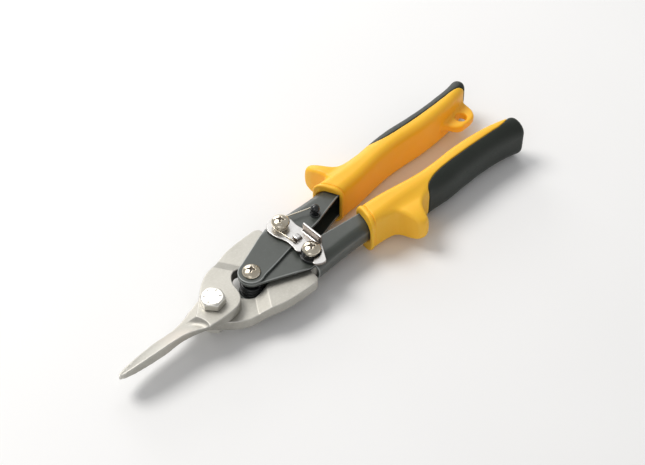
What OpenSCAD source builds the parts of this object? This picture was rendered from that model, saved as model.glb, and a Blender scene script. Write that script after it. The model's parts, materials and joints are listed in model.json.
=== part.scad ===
// Compound-leverage aviation snips, straight cut, closed and latched.
// Millimetres. The tool lies flat: X runs along it (tip at -X, grips at +X),
// Y is across it (handle A at +Y, handle B at -Y), Z is up.
// Design coordinates have the main pivot axis at x = 0, y = 0 and the blades'
// meeting plane at z = 0. lay() moves them to the part's own frame, whose origin
// is the middle of the underside.

/* [Blades] */
// Distance from the main pivot to the tip
nose_len = 57.5; // [54:0.5:60]
// Thickness of each blade
blade_t = 6.4; // [5.6:0.1:6.4]
// Gap between the two blade faces
blade_gap = 0.06; // [0.04:0.01:0.1]
// Radius of the tail eye
tail_eye_r = 5.4; // [5.0:0.1:5.5]

/* [Linkage] */
// Distance from the main pivot to the handle pivot
pivot_h = 24.7; // [24:0.1:25.4]
// Distance from the main pivot to the tail pivots, along X
pivot_t = 54.2; // [53.8:0.1:54.6]
// Distance of each tail pivot from the tool's middle line
tail_y = 11.2; // [11.0:0.1:11.4]

/* [Fasteners] */
// Radius of the main pivot bolt
bolt_r = 4; // [3.5:0.1:4]
// Width across flats of the bolt head
bolt_af = 11.2; // [11:0.1:12]
// Width across flats of the nut
nut_af = 11.2; // [11:0.1:12]
// Radius of the machine screws
screw_r = 2.5; // [2.2:0.1:2.5]
// Radius of the screw heads
head_r = 4.7; // [4.2:0.1:4.9]
// Running clearance on a radius
run = 0.05; // [0.03:0.01:0.1]

/* [Handles] */
// Half height of channel A, outside
ha_out = 8.6; // [8.4:0.1:8.6]
// Half height of channel B, outside
hb_out = 6.8; // [6.6:0.1:6.8]
// Sheet thickness of both channels
wall = 1.6; // [1.4:0.1:1.6]
// Radius of the round front end of each arm
arm_eye_r = 6.8; // [6.4:0.1:6.8]

/* [Grips] */
// Half height of the rim bead and the widest part of each grip
grip_h = 12.8; // [12.8:0.1:13.4]
// Radius of the hole in the hang loop
hang_r = 3.2; // [3:0.1:3.4]
// Thickness of the hang loop
hang_t = 5; // [4:0.5:6]

/* [Latch] */
// Thickness of the latch plate
latch_t = 1.2; // [1:0.1:1.2]
// Radius of the neck that the latch hooks over
neck_r = 2.1; // [1.8:0.1:2.1]
// Radius of the notch in the latch
notch_r = 5; // [4.6:0.1:5]

/* [Hidden] */
$fn = 64;
x_mid = 69;                   // middle of the tool, from the main pivot
z_mid = grip_h;               // height of the meeting plane above the ground
ha_in = ha_out - wall;
hb_in = hb_out - wall;
bush_r = 3.6;
head_h = 2.6;
latch_z = ha_out + 0.3;
head_z = latch_z + latch_t + 1.6;   // underside of the catch screw's head
head_za = head_z + 1.4;             // underside of the latch screw's head
stud_x = 73; stud_y = 6.1;
wire = 0.95;                  // radius of the main spring's wire
lwire = 0.35;                 // radius of the latch spring's wire

module lay() { translate([-x_mid, 0, z_mid]) children(); }
// the B side is the A side turned half a turn about the tool's long axis
module b_side() { rotate([180, 0, 0]) children(); }
// the B side as a mirror image, for pieces that keep their upper face up
module b_mirror() { mirror([0, 1, 0]) children(); }

// ---------- blades ----------
// sections of the nose: x, back edge y, cutting edge y, ridge height, edge height
nose = [[-10.5, -10.4, 0.6, 1.00, 0.72],
        [-16.5, -7.2, 2.8, 0.98, 0.22],
        [-22.0, -5.5, 3.3, 0.97, 0.19],
        [-36.0, -4.6, 3.7, 0.94, 0.16],
        [-46.0, -3.9, 2.8, 0.84, 0.16],
        [-54.0, -2.7, 1.3, 0.66, 0.18],
        [-nose_len, -1.6, 0.4, 0.44, 0.22]];
module nose_slice(s) {
  b = blade_gap / 2;
  translate([s[0], 0, 0]) rotate([90, 0, 90]) linear_extrude(height = 0.02, center = true)
    polygon([[s[1], b], [s[1], blade_t * s[3]], [s[1] + 0.9, blade_t * s[3]],
             [s[2], b + blade_t * s[4]], [s[2], b]]);
}
pivot_plate = [[-10.5, -10.4], [-3.9, -10.6], [3.3, -10.5], [7.4, -9.9], [10.8, -7.9],
  [12.7, -5.3], [13.7, -2.3], [14.3, 1.6], [15.9, 4.7], [18.2, 7.0], [19.6, 8.3],
  [14.2, 17.1], [10, 16.4], [5, 14.2], [-0.5, 10.5], [-6.6, 4.7], [-8.6, 2.4], [-10.5, 0]];
tail_plate = [[20.6, 20.3], [26.5, 21.8], [32, 22.5], [37, 22.8], [43, 22.9], [47.2, 22.8],
  [48.6, 21.9], [49.1, 19.6], [49, 15.4], [51.5, 16.0], [58, 8.0], [52, 6.1], [46, 5.8], [38, 6.4], [32, 7.6], [26.6, 9.4]];
module joggle_edge(p, q, lo, hi) {
  // a thin upright slab from p to q
  d = [q[0] - p[0], q[1] - p[1]];
  translate([p[0], p[1], lo]) rotate([0, 0, atan2(d[1], d[0])])
    translate([0, -0.02, 0]) cube([norm(d), 0.04, hi - lo]);
}
module blade(bore_r) {
  b = blade_gap / 2;
  color([0.66, 0.65, 0.62]) difference() {
    union() {
      translate([0, 0, b]) linear_extrude(height = blade_t - b) polygon(pivot_plate);
      for (i = [0 : 5]) hull() { nose_slice(nose[i]); nose_slice(nose[i + 1]); }
      hull() {
        joggle_edge([14.2, 17.1], [19.6, 8.3], b, blade_t);
        joggle_edge([20.6, 20.3], [26.6, 9.4], -blade_t / 2, blade_t / 2);
      }
      translate([0, 0, -blade_t / 2]) linear_extrude(height = blade_t) polygon(tail_plate);
      translate([pivot_t, tail_y, -blade_t / 2]) cylinder(r = tail_eye_r, h = blade_t);
    }
    translate([0, 0, -5]) cylinder(r = bore_r, h = 20);
    translate([pivot_t, tail_y, -10]) cylinder(r = bush_r + run, h = 20);
  }
}
module blade_a() lay() blade(bolt_r + 0.45);
module blade_b() lay() b_side() blade(bolt_r);

// ---------- main pivot ----------
module hex_head(af, h) {
  intersection() {
    cylinder(r = af / 2 / cos(30), h = h, $fn = 6);
    union() {
      cylinder(r = af / 2 / cos(30) + 0.1, h = h - 0.9);
      translate([0, 0, h - 0.9]) cylinder(r1 = af / 2 / cos(30) + 0.1, r2 = af / 2 - 0.5, h = 0.9);
    }
  }
}
module pivot_bolt() lay() color([0.86, 0.84, 0.78]) {
  translate([0, 0, blade_t + 0.05]) rotate([0, 0, 12]) hex_head(bolt_af, 4.6);
  translate([0, 0, -grip_h]) cylinder(r = bolt_r, h = grip_h + blade_t + 0.1);
}
module pivot_nut() lay() color([0.78, 0.77, 0.73]) difference() {
  rotate([180, 0, 0]) translate([0, 0, blade_t]) rotate([0, 0, 8]) hex_head(nut_af, 5);
  translate([0, 0, -20]) cylinder(r = bolt_r, h = 20);
}

// ---------- handles ----------
web_line = [[51.2, 18.8], [62, 18.2], [76, 17.7], [90, 17.8], [110, 18], [130, 18.6], [160, 18.6], [183, 19.4]];
arm_a = concat([[22.6, 6.4], [31.5, 9.9], [42, 14.2], [48.4, 16.8]], web_line,
  [[183, 16.2], [160, 13.4], [130, 12.6], [110, 9.4], [90, 7.2], [78, 3.7], [70, 1.4], [64, 0.7],
   [58, 0.4], [48.4, -1.8], [31, -5.4], [26.4, -6.5]]);
arm_b = concat([[22.6, 6.4], [31.5, 9.9], [42, 14.2], [48.4, 16.8]], web_line,
  [[183, 16.2], [160, 13.4], [130, 12.6], [110, 9.4], [90, 7.2], [76, 5.8], [68, 4.9], [60, 4.2],
   [50, 1.4], [40, -2.4], [31, -5.4], [26.4, -6.5]]);
module channel(arm, out) {
  in = out - wall;
  difference() {
    union() {
      translate([0, 0, -out]) linear_extrude(height = 2 * out) polygon(arm);
      translate([pivot_h, 0, -out]) cylinder(r = arm_eye_r, h = 2 * out);
    }
    // hollow between the walls, open at the front and on the inner side
    translate([0, 0, -in]) linear_extrude(height = 2 * in)
      polygon([[10, -40], [10, 40], [51.2, 40], [51.2, 18.8 - wall], [62, 18.2 - wall],
        [76, 17.7 - wall], [90, 17.8 - wall], [110, 18 - wall], [130, 18.6 - wall],
        [160, 18.6 - wall], [184, 19.4 - wall], [184, -40]]);
    translate([pivot_h, 0, -20]) cylinder(r = screw_r + run, h = 40);
    translate([pivot_t, tail_y, -20]) cylinder(r = screw_r + run, h = 40);
  }
}
module handle_a_channel() lay() color([0.30, 0.34, 0.36]) difference() {
  channel(arm_a, ha_out);
  translate([stud_x, stud_y, 0]) cylinder(r = 1.6, h = 20);
}
module handle_b_channel() lay() b_mirror() color([0.30, 0.34, 0.36]) channel(arm_b, hb_out);

// ---------- screws, nuts and bushes ----------
module cross_recess(z) {
  for (a = [0, 90]) rotate([0, 0, a]) translate([-2.1, -0.45, z]) cube([4.2, 0.9, 3]);
}
module dome_head(z) {
  difference() {
    intersection() {
      translate([0, 0, z]) cylinder(r = head_r, h = head_h);
      translate([0, 0, z + head_h - 6.4]) sphere(r = 6.4);
    }
    cross_recess(z + 1.1);
  }
}
module small_nut(top) {
  difference() {
    translate([0, 0, top - 2.7]) cylinder(r = 4 / cos(30), h = 2.7, $fn = 6);
    translate([0, 0, top - 5]) cylinder(r = screw_r, h = 8);
  }
}
module handle_pivot_screw() lay() translate([pivot_h, 0, 0]) color([0.84, 0.80, 0.72]) {
  rotate([0, 0, 38]) dome_head(ha_out + 0.05);
  translate([0, 0, -ha_out - 3.2]) cylinder(r = screw_r, h = 2 * ha_out + 3.9);
}
module handle_pivot_nut() lay() translate([pivot_h, 0, 0]) color([0.78, 0.77, 0.73]) small_nut(-ha_out - 0.05);
module handle_pivot_bush() lay() translate([pivot_h, 0, 0]) color([0.12, 0.12, 0.12]) difference() {
  translate([0, 0, -hb_in]) cylinder(r = 4, h = 2 * hb_in);
  translate([0, 0, -20]) cylinder(r = screw_r, h = 40);
}
// screw A carries the latch on a shoulder under its head
module tail_screw_a() lay() translate([pivot_t, tail_y, 0]) color([0.84, 0.80, 0.72]) {
  rotate([0, 0, 40]) dome_head(head_za);
  translate([0, 0, ha_out]) cylinder(r = screw_r + 0.4, h = head_za - ha_out + 0.5);
  translate([0, 0, -ha_out - 3.2]) cylinder(r = screw_r, h = 2 * ha_out + 3.4);
}
// screw B is the catch: the latch hooks over the neck under its head
module tail_screw_b() lay() translate([pivot_t, -tail_y, 0]) color([0.84, 0.80, 0.72]) {
  rotate([0, 0, 52]) dome_head(head_z);
  translate([0, 0, ha_out]) cylinder(r = neck_r, h = head_z - ha_out + 0.5);
  translate([0, 0, -hb_out - 3.2]) cylinder(r = screw_r, h = hb_out + 3.2 + ha_out + 0.1);
}
module tail_nut_a() lay() translate([pivot_t, tail_y, 0]) color([0.78, 0.77, 0.73]) small_nut(-ha_out);
module tail_nut_b() lay() translate([pivot_t, -tail_y, 0]) color([0.78, 0.77, 0.73]) small_nut(-hb_out);
module tail_bush(half) {
  difference() {
    translate([0, 0, -half]) cylinder(r = bush_r, h = 2 * half);
    translate([0, 0, -20]) cylinder(r = screw_r, h = 40);
  }
}
module tail_bush_a() lay() translate([pivot_t, tail_y, 0]) color([0.45, 0.45, 0.46]) tail_bush(ha_in);
module tail_bush_b() lay() translate([pivot_t, -tail_y, 0]) color([0.45, 0.45, 0.46]) tail_bush(hb_in);
// rings that keep each tail in the middle of its channel
module tail_spacers(half) {
  lo = blade_t / 2 + 0.05;
  for (s = [0, 1]) mirror([0, 0, s]) difference() {
    translate([0, 0, lo]) cylinder(r = 4.9, h = half - lo);
    translate([0, 0, 0]) cylinder(r = bush_r, h = 20);
  }
}
module tail_spacers_a() lay() translate([pivot_t, tail_y, 0]) color([0.15, 0.15, 0.16]) tail_spacers(ha_in);
module tail_spacers_b() lay() translate([pivot_t, -tail_y, 0]) color([0.15, 0.15, 0.16]) tail_spacers(hb_in);
module catch_collar() lay() translate([pivot_t, -tail_y, 0]) color([0.13, 0.13, 0.14]) difference() {
  translate([0, 0, hb_out]) cylinder(r = 6, h = ha_out - hb_out);
  translate([0, 0, 0]) cylinder(r = screw_r, h = 20);
}

// ---------- main torsion spring ----------
// one wire: the coil and the leg of handle B, then the last turn and the leg of handle A
spring_r = 5.2;               // mean radius of the coil
leg_reach = [37.5, 53];       // where each leg bends, and where it ends
coil_turns = 3;
coil_rise = 6.4;
leg_z = 4.2;
// the lower piece: leg end, bend, tangent point, then round and up the coil
path_b = concat([[leg_reach[1], -14.4, -leg_z], [leg_reach[0] + 0.8, -5.6, -leg_z], [leg_reach[0], -5.25, -leg_z],
    [leg_reach[0] - 1, -5.2, -leg_z]],
  [for (i = [0 : 24 * coil_turns]) let (a = -90 - 15 * i)
    [spring_r * cos(a), spring_r * sin(a), -leg_z + coil_rise * i / (24 * coil_turns)]]);
// the upper piece: nearly one flat turn, then the leg
path_a = concat([for (i = [0 : 22]) let (a = 90 + 15 * (22 - i)) [spring_r * cos(a), spring_r * sin(a), leg_z]],
  [[leg_reach[0] - 1, 5.2, leg_z], [leg_reach[0], 5.25, leg_z], [leg_reach[0] + 0.8, 5.6, leg_z], [leg_reach[1], 14.4, leg_z]]);
function unit(v) = v / norm(v);
module tube(path, r, sides = 10) {
  n = len(path);
  pts = [for (i = [0 : n - 1])
    let (t = unit(path[min(i + 1, n - 1)] - path[max(i - 1, 0)]), s = unit(cross(t, [0, 0, 1])), u = cross(s, t))
    for (k = [0 : sides - 1]) path[i] + r * (cos(360 * k / sides) * s + sin(360 * k / sides) * u)];
  sidesf = [for (i = [0 : n - 2], k = [0 : sides - 1])
    let (k2 = (k + 1) % sides) [i * sides + k, i * sides + k2, (i + 1) * sides + k2, (i + 1) * sides + k]];
  polyhedron(points = pts, faces = concat(sidesf, [[for (k = [sides - 1 : -1 : 0]) k]],
    [[for (k = [0 : sides - 1]) (n - 1) * sides + k]]), convexity = 8);
}
module main_spring() lay() translate([pivot_h, 0, 0]) color([0.10, 0.10, 0.11]) tube(path_b, wire);
module main_spring_leg() lay() translate([pivot_h, 0, 0]) color([0.10, 0.10, 0.11]) tube(path_a, wire);

// ---------- latch ----------
latch_outline = [[47.2, 11.2], [47.4, 8.0], [48.6, 4.4], [49.6, 0.6], [49.4, -3.4], [48.8, -6.2],
  [50.2, -7.9], [54.2, -11.2], [52.5, -15.4], [51.2, -16.1], [49.5, -17.0], [49.4, -17.7], [52.2, -20.6], [54.8, -20.9],
  [57.6, -18.0], [60.8, -13.4], [61.4, -10.6], [61.2, 2.4], [60.4, 8.0], [60.0, 14.0]];
module latch_plate() lay() color([0.85, 0.84, 0.82]) {
  difference() {
    union() {
      translate([0, 0, latch_z]) linear_extrude(height = latch_t) polygon(latch_outline);
      translate([pivot_t, tail_y, latch_z]) cylinder(r = 7, h = latch_t);
      // thumb tab, bent up along the rear edge
      translate([60.2, -11.4, latch_z]) cube([latch_t, 13, 6.6]);
      // raised ear that takes the spring's leg
      translate([52.4, -4.6, latch_z + latch_t - 0.1]) cube([4.4, 5.4, 0.9]);
    }
    translate([pivot_t, tail_y, 0]) cylinder(r = screw_r + 0.4 + run, h = 20);
    translate([pivot_t, -tail_y, 0]) cylinder(r = notch_r, h = 20);
    translate([52.2, -2.6, 0]) cylinder(r = 0.9, h = 20);
  }
}
spr_z = latch_z + latch_t;
// two small coils of one wire: the upper turn anchors on the stud, the lower one pushes the latch
coil_r = 3.5;
stud_pt = [stud_x - 0.2 - pivot_t, stud_y + 2.7 - tail_y];
ear_pt = [51.8 - pivot_t, -1.6 - tail_y];
stud_a = atan2(stud_pt[1], stud_pt[0]) + acos(coil_r / norm(stud_pt));
ear_a = atan2(ear_pt[1], ear_pt[0]) - acos(coil_r / norm(ear_pt));
module latch_spring() lay() translate([pivot_t, tail_y, spr_z + 1.2]) color([0.72, 0.70, 0.66])
  tube(concat([for (i = [0 : 46]) let (a = stud_a + 15 * (46 - i)) [coil_r * cos(a), coil_r * sin(a), 1.4 * (46 - i) / 46]],
    [[stud_pt[0], stud_pt[1], 0]]), lwire, 8);
module latch_spring_leg() lay() translate([pivot_t, tail_y, spr_z + 0.37]) color([0.72, 0.70, 0.66])
  tube(concat([for (i = [0 : 22]) let (a = ear_a - 15 * (22 - i)) [coil_r * cos(a), coil_r * sin(a), 0]],
    [[ear_pt[0], ear_pt[1], 0]]), lwire, 8);
module latch_stud() lay() translate([stud_x, stud_y, 0]) color([0.16, 0.18, 0.20]) {
  translate([0, 0, ha_in - 0.6]) cylinder(r = 2.4, h = 0.6);
  translate([0, 0, ha_in - 0.1]) cylinder(r = 1.6, h = wall + 2.3);
  translate([0, 0, ha_out]) cylinder(r = 2.6, h = 1.2);
  translate([0, 0, ha_out + 3.9]) sphere(r = 2.5);
}

// ---------- grips ----------
// stations: x, inner y, outer y, half height, inner corner radius, outer corner radius
grip_st = [[90.5, 5.9, 19.6, grip_h - 0.5, 4.5, 5], [106, 6.9, 20.5, grip_h - 0.4, 4.5, 6],
  [122, 9.5, 23, grip_h - 0.1, 4.5, 6.6], [138, 10.5, 24.7, grip_h, 4.5, 7],
  [155, 9.8, 24.1, grip_h, 4.5, 7], [175, 10.9, 23.9, grip_h, 4.5, 6.4],
  [189, 14, 25.2, grip_h, 4.2, 5.5], [195.5, 16.2, 26.6, grip_h - 0.8, 3, 5]];
module grip_slice(s, dx) {
  for (e = [[s[1] + s[4], s[4]], [s[2] - s[5], s[5]]], z = [-1, 1])
    translate([s[0] + dx, e[0], z * (s[3] - e[1])]) rotate([0, 90, 0])
      cylinder(r = e[1], h = 0.02, $fn = 32);
}
module grip_body() {
  for (i = [0 : 6]) hull() { grip_slice(grip_st[i], 0); grip_slice(grip_st[i + 1], -0.02); }
}
function rrect(y0, y1, h, r) = [for (c = [[y1 - r, h - r, 0], [y0 + r, h - r, 90], [y0 + r, r - h, 180], [y1 - r, r - h, 270]],
  a = [0 : 15 : 90]) [c[0] + r * cos(c[2] + a), c[1] + r * sin(c[2] + a)]];
module rim_bead() {
  translate([90.5, 0, 0]) rotate([90, 0, 90]) linear_extrude(height = 2.4)
    polygon(rrect(5, 20.5, grip_h, 6.5));
}
guard_a = [[90.5, 14], [90.7, 26], [91.4, 32], [92.6, 35], [94.6, 36], [96.6, 35.2], [98.4, 32.4],
  [100.4, 28.6], [103, 24.8], [106.5, 21.8], [111, 20], [111, 14]];
guard_b = [[100, 14], [100, 19.6], [103.4, 21.4], [105.8, 25], [107.4, 30], [108.4, 34], [109.8, 35.7],
  [111.6, 36], [113.6, 34.6], [115, 31.2], [116.6, 27.8], [119.6, 24.6], [124, 21.8], [124, 14]];
guard_side = [[13, -11.6], [20, -11.2], [26, -9.4], [31, -7.6], [34.4, -5.2], [36, -2.4], [36, 3.4],
  [34.8, 6], [31, 8.2], [26, 9.8], [20, 11.4], [13, 11.8]];
module guard(outline) {
  intersection() {
    translate([0, 0, -13]) linear_extrude(height = 26) polygon(outline);
    translate([80, 0, 0]) rotate([90, 0, 90]) linear_extrude(height = 60) polygon(guard_side);
  }
}
// pocket that the channel fills
module pocket(half) {
  translate([0, 0, -half]) linear_extrude(height = 2 * half)
    polygon([[80, 17.9], [90, 17.9], [110, 18.1], [130, 18.7], [160, 18.7], [183.1, 19.5],
      [183.1, 16.0], [160, 13.2], [130, 12.4], [110, 9.2], [90, 7.1], [80, 4.4]]);
}
// the soft insert is an overlay on the outer half of the grip
insert_edge = [[125.5, 40], [125.5, 23.2], [127.4, 20.6], [131, 18.7], [136, 17.5], [144, 17.0], [158, 16.9],
  [168, 17.1], [178, 17.5], [186, 17.8], [190.4, 17], [193.2, 15], [194.9, 11], [200, 11], [200, 40]];
core_edge = [[100, 0], [100, 19.4], [128, 20.1], [146, 20.2], [170, 20.2], [187, 20.9], [192.6, 20.9], [192.6, 0]];
module insert_space() {
  difference() {
    translate([0, 0, -20]) linear_extrude(height = 40) polygon(insert_edge);
    translate([0, 0, -9.8]) linear_extrude(height = 19.6) polygon(core_edge);
  }
}
module sleeve(outline, half) {
  difference() {
    union() { grip_body(); rim_bead(); guard(outline); }
    insert_space();
    pocket(half);
  }
}
loop_edge = [[192.3, 17], [191.6, 9], [190.4, 6.2], [188.2, 3.4], [185.4, 2.1], [177.4, 1.8], [174.8, 3], [172.4, 6.6], [168, 12.6], [168, 17]];
module hang_loop() {
  translate([0, 0, -hang_t / 2]) linear_extrude(height = hang_t) polygon(loop_edge);
}
module grip_a_sleeve() lay() color([0.99, 0.68, 0.16]) difference() {
  union() {
    sleeve(guard_a, ha_out + 0.05);
    difference() { hang_loop(); insert_space(); translate([0, 0, -20]) linear_extrude(height = 40) polygon([[160, 14.4], [200, 17.4], [200, 40], [160, 40]]); }
  }
  translate([182.2, 7.3, -20]) cylinder(r = hang_r, h = 40);
}
module grip_b_sleeve() lay() b_mirror() color([0.99, 0.68, 0.16]) sleeve(guard_b, hb_out + 0.05);
module grip_a_insert() lay() color([0.20, 0.23, 0.22]) intersection() { grip_body(); insert_space(); }
module grip_b_insert() lay() b_mirror() color([0.20, 0.23, 0.22]) intersection() { grip_body(); insert_space(); }

blade_a();
blade_b();
pivot_bolt();
pivot_nut();
handle_a_channel();
handle_b_channel();
grip_a_sleeve();
grip_b_sleeve();
grip_a_insert();
grip_b_insert();
handle_pivot_screw();
handle_pivot_nut();
handle_pivot_bush();
main_spring();
main_spring_leg();
tail_screw_a();
tail_screw_b();
tail_nut_a();
tail_nut_b();
tail_bush_a();
tail_bush_b();
tail_spacers_a();
tail_spacers_b();
catch_collar();
latch_plate();
latch_spring();
latch_spring_leg();
latch_stud();
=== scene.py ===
"""Looks of the aviation snips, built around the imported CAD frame.

Shapes are written in design millimetres, as in the part's source: the main pivot axis is at x = 0, y = 0 and the
blades' meeting plane is z = 0. put() turns them into the row frame, in metres.
"""
import json
import math

import bpy  # noqa: E402
import bmesh  # noqa: E402
import numpy as np  # noqa: E402
from mathutils import Matrix, Vector  # noqa: E402


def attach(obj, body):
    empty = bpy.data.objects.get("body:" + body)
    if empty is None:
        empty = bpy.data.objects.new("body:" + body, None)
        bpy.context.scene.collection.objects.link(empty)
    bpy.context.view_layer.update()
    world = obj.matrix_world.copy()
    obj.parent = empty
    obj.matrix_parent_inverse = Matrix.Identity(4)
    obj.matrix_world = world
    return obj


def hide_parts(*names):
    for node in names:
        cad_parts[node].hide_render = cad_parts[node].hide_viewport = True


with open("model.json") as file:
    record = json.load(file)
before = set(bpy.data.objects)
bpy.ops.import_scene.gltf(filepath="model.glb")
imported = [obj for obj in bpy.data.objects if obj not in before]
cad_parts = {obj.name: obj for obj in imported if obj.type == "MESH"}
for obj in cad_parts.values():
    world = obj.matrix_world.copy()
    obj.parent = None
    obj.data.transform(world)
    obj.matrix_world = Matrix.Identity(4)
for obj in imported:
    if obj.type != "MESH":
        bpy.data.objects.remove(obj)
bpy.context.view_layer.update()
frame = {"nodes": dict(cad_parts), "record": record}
scene = bpy.context.scene
for old in list(bpy.data.materials):
    bpy.data.materials.remove(old)

OFF = np.array([-69.0, 0.0, 12.8])
PIVOT_H, PIVOT_T, TAIL_Y = 24.7, 54.2, 11.2
BLADE_T = 6.4
HA, HB, WALL = 8.6, 6.8, 1.6


# ---------------------------------------------------------------- mesh tools
def put(v):
    return (np.asarray(v, float).reshape(-1, 3) + OFF) * 0.001


def fast_mesh(name, verts, quads):
    """A mesh from vertex and quad arrays."""
    me = bpy.data.meshes.new(name)
    n = len(quads)
    me.vertices.add(len(verts))
    me.vertices.foreach_set("co", np.asarray(verts, np.float32).ravel())
    me.loops.add(4 * n)
    me.loops.foreach_set("vertex_index", np.asarray(quads, np.int32).ravel())
    me.polygons.add(n)
    me.polygons.foreach_set("loop_start", np.arange(0, 4 * n, 4, dtype=np.int32))
    me.polygons.foreach_set("use_smooth", np.ones(n, bool))
    me.update(calc_edges=True)
    me.validate()
    return me


def finish_piece(me, name, body, nodes, mat, angle=None):
    ob = bpy.data.objects.new(name, me)
    scene.collection.objects.link(ob)
    me.materials.clear()
    me.materials.append(mat)
    if angle is not None:
        me.polygons.foreach_set("use_smooth", np.ones(len(me.polygons), bool))
        me.set_sharp_from_angle(angle=math.radians(angle))
    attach(ob, body)
    if nodes:
        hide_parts(*nodes)
    return ob


def axis(*runs):
    """Grid coordinates from (start, end, step) runs that follow each other."""
    out = []
    for a, b, h in runs:
        n = max(1, int(round((b - a) / h)))
        out += list(np.linspace(a, b, n + 1))[(1 if out else 0):]
    return np.array(out, np.float32)


def nets(F, xs, ys, zs):
    """Surface nets over a rectilinear grid: F < 0 is inside. Returns vertices and quads facing outwards."""
    ins = F < 0
    nx, ny, nz = F.shape
    cnt = np.zeros((nx - 1, ny - 1, nz - 1), np.int8)
    for i in (0, 1):
        for j in (0, 1):
            for k in (0, 1):
                cnt += ins[i:nx - 1 + i, j:ny - 1 + j, k:nz - 1 + k]
    act = (cnt > 0) & (cnt < 8)
    ci, cj, ck = np.nonzero(act)
    idx = np.full(act.shape, -1, np.int64)
    idx[ci, cj, ck] = np.arange(len(ci))
    acc = np.zeros((len(ci), 3))
    num = np.zeros(len(ci))
    corner = lambda i, j, k: F[ci + i, cj + j, ck + k]  # noqa: E731
    for ax in range(3):
        for u in (0, 1):
            for v in (0, 1):
                c0 = [0, 0, 0]
                o = [d for d in range(3) if d != ax]
                c0[o[0]], c0[o[1]] = u, v
                c1 = list(c0)
                c1[ax] = 1
                a, b = corner(*c0).astype(float), corner(*c1).astype(float)
                m = (a < 0) != (b < 0)
                t = np.where(m, a / np.where(m, a - b, 1.0), 0.0)
                p = np.zeros((len(ci), 3))
                p[:, o[0]], p[:, o[1]] = u, v
                p[:, ax] = t
                acc += p * m[:, None]
                num += m
    acc /= np.maximum(num, 1)[:, None]
    verts = np.empty_like(acc)
    for ax, (s, c) in enumerate(((xs, ci), (ys, cj), (zs, ck))):
        verts[:, ax] = s[c] + acc[:, ax] * (s[c + 1] - s[c])
    quads = []
    for ax in range(3):
        o = [d for d in range(3) if d != ax]
        lo = [slice(None)] * 3
        hi = [slice(None)] * 3
        lo[ax], hi[ax] = slice(0, -1), slice(1, None)
        a, b = ins[tuple(lo)], ins[tuple(hi)]
        m = a != b
        # inner grid edges only, which have four cells round them
        m = m.copy()
        for d in o:
            first = [slice(None)] * 3
            last = [slice(None)] * 3
            first[d], last[d] = 0, -1
            m[tuple(first)] = False
            m[tuple(last)] = False
        e = np.array(np.nonzero(m)).T
        if not len(e):
            continue
        out = a[m]
        step = np.zeros((2, 3), int)
        step[0, o[0]] = 1
        step[1, o[1]] = 1
        q = [e - step[0] - step[1], e - step[1], e, e - step[0]]
        q = np.stack([idx[p[:, 0], p[:, 1], p[:, 2]] for p in q], 1)
        flip = out if ax != 1 else ~out
        q[~flip] = q[~flip][:, ::-1]
        quads.append(q)
    return verts, np.concatenate(quads)


def relax(verts, quads, rounds=1, amount=0.4):
    """Evens out a net a little, without moving it off its surface much."""
    n = len(verts)
    for _ in range(rounds):
        acc = np.zeros_like(verts)
        num = np.zeros(n)
        for a, b in ((0, 1), (1, 2), (2, 3), (3, 0)):
            for s, t in ((a, b), (b, a)):
                for d in range(3):
                    acc[:, d] += np.bincount(quads[:, s], weights=verts[quads[:, t], d], minlength=n)
                num += np.bincount(quads[:, s], minlength=n)
        verts = verts + amount * (acc / np.maximum(num, 1)[:, None] - verts)
    return verts


def spline(pts, closed=True, step=0.4):
    """A smooth line through points (x, y) or (x, y, 1) for a sharp corner."""
    p = [np.array(q[:2], float) for q in pts]
    sharp = [len(q) > 2 for q in pts]
    n = len(p)
    out = []
    for i in range(n if closed else n - 1):
        a, b = p[i], p[(i + 1) % n]
        L = np.linalg.norm(b - a)

        def tangent(k):
            if sharp[k] or (not closed and k in (0, n - 1)):
                return (b - a) / max(L, 1e-9)
            prev, nxt = p[k - 1], p[(k + 1) % n]
            d1, d2 = np.linalg.norm(p[k] - prev), np.linalg.norm(nxt - p[k])
            t = (p[k] - prev) / max(d1, 1e-9) * d2 + (nxt - p[k]) / max(d2, 1e-9) * d1
            return t / max(np.linalg.norm(t), 1e-9)

        ta, tb = tangent(i) * L, tangent((i + 1) % n) * L
        m = max(1, int(math.ceil(L / step)))
        for s in range(m):
            t = s / m
            out.append((2 * t**3 - 3 * t**2 + 1) * a + (t**3 - 2 * t**2 + t) * ta
                       + (-2 * t**3 + 3 * t**2) * b + (t**3 - t**2) * tb)
    if not closed:
        out.append(p[-1])
    return np.array(out)


def poly_sdf(pts, X, Y):
    """Signed distance to a closed outline, below 0 inside."""
    X, Y = np.broadcast_arrays(np.asarray(X, float), np.asarray(Y, float))
    d = np.full(X.shape, 1e18)
    inside = np.zeros(X.shape, bool)
    n = len(pts)
    for i in range(n):
        ax, ay = pts[i]
        bx, by = pts[(i + 1) % n]
        ex, ey = bx - ax, by - ay
        wx, wy = X - ax, Y - ay
        t = np.clip((wx * ex + wy * ey) / max(ex * ex + ey * ey, 1e-12), 0, 1)
        d = np.minimum(d, (wx - ex * t) ** 2 + (wy - ey * t) ** 2)
        if ay != by:
            inside ^= ((ay > Y) != (by > Y)) & (X < ex * (Y - ay) / (by - ay) + ax)
    d = np.sqrt(d)
    return np.where(inside, -d, d)


def rmax(a, b, r):
    """Intersection with the convex edge rounded to r."""
    u, v = np.maximum(a + r, 0), np.maximum(b + r, 0)
    return np.minimum(-r, np.maximum(a, b)) + np.sqrt(u * u + v * v)


def rmin(a, b, r):
    """Union with the concave corner filled to r."""
    u, v = np.maximum(r - a, 0), np.maximum(r - b, 0)
    return np.maximum(r, np.minimum(a, b)) - np.sqrt(u * u + v * v)


def smin(a, b, k):
    h = np.clip(0.5 + 0.5 * (b - a) / k, 0, 1)
    return b * (1 - h) + a * h - k * h * (1 - h)


def ease(x, a, b):
    t = np.clip((x - a) / (b - a), 0, 1)
    return t * t * (3 - 2 * t)


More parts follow.
